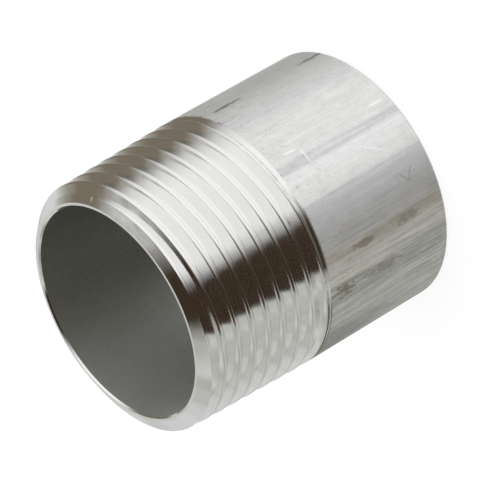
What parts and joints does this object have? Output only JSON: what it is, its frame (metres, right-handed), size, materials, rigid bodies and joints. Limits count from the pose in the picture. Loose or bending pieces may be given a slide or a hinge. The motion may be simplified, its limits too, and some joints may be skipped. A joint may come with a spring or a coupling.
{
  "type": "male weld nipple",
  "caption": "Short stainless steel tube with an outside taper pipe thread at one end and a plain end to butt weld to a pipe.",
  "frame": {"origin": "centre of the plain end's face, which the nipple stands on", "axes": "+Z along the bore, from the plain weld end to the threaded end"},
  "size_m": [0.0338, 0.0338, 0.0391],
  "materials": {
    "stainless_steel": "bright turned thread and lead-in chamfer, dull pickled tube with faint streaks along it"
  },
  "bodies": {
    "root": {"weld_nipple": "stainless_steel"}
  },
  "joints": []
}
